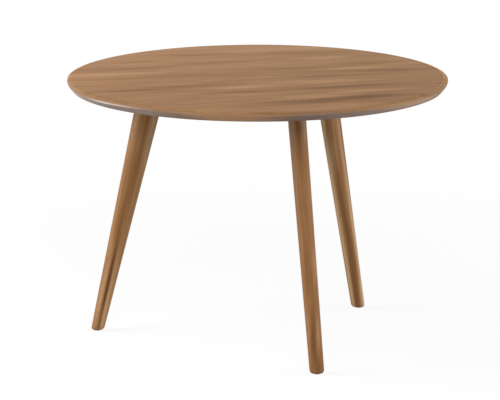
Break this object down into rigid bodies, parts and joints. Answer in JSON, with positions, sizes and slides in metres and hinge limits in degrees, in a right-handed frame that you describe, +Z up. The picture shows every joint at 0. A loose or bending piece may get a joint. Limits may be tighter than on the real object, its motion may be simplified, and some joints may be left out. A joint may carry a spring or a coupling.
{
  "type": "round cocktail table",
  "caption": "Low round cocktail table: a thin veneered disc top with an undercut solid-wood edge on splayed, tapered oval legs, for setting drinks and small things on.",
  "frame": {"origin": "on the floor, under the middle of the round top", "axes": "+Z up, through the middle of the top; the front leg points along -Y, and the veneer's grain runs nearly along X"},
  "size_m": [0.65, 0.65, 0.456],
  "materials": {
    "face_veneer": "satin lacquered walnut-tone veneer",
    "lipping_wood": "satin lacquered solid wood",
    "leg_wood": "satin lacquered solid wood",
    "backing_veneer": "thin sealed backing veneer",
    "core_panel": "raw fibreboard",
    "plate_steel": "black powder coat",
    "screw_steel": "zinc plated",
    "insert_brass": "plain turned brass",
    "glide_nylon": "moulded nylon"
  },
  "bodies": {
    "root": {"top_core": "core_panel", "face_veneer": "face_veneer", "backing_veneer": "backing_veneer", "edge_lipping_1": "lipping_wood", "edge_lipping_2": "lipping_wood", "edge_lipping_3": "lipping_wood", "edge_lipping_4": "lipping_wood", "edge_lipping_5": "lipping_wood", "edge_lipping_6": "lipping_wood", "leg_front": "leg_wood", "leg_plate_front": "plate_steel", "plate_screws_front": "screw_steel", "leg_screws_front": "screw_steel", "top_inserts_front": "insert_brass", "leg_inserts_front": "insert_brass", "foot_glide_front": "glide_nylon", "leg_right": "leg_wood", "leg_plate_right": "plate_steel", "plate_screws_right": "screw_steel", "leg_screws_right": "screw_steel", "top_inserts_right": "insert_brass", "leg_inserts_right": "insert_brass", "foot_glide_right": "glide_nylon", "leg_left": "leg_wood", "leg_plate_left": "plate_steel", "plate_screws_left": "screw_steel", "leg_screws_left": "screw_steel", "top_inserts_left": "insert_brass", "leg_inserts_left": "insert_brass", "foot_glide_left": "glide_nylon"}
  },
  "joints": []
}
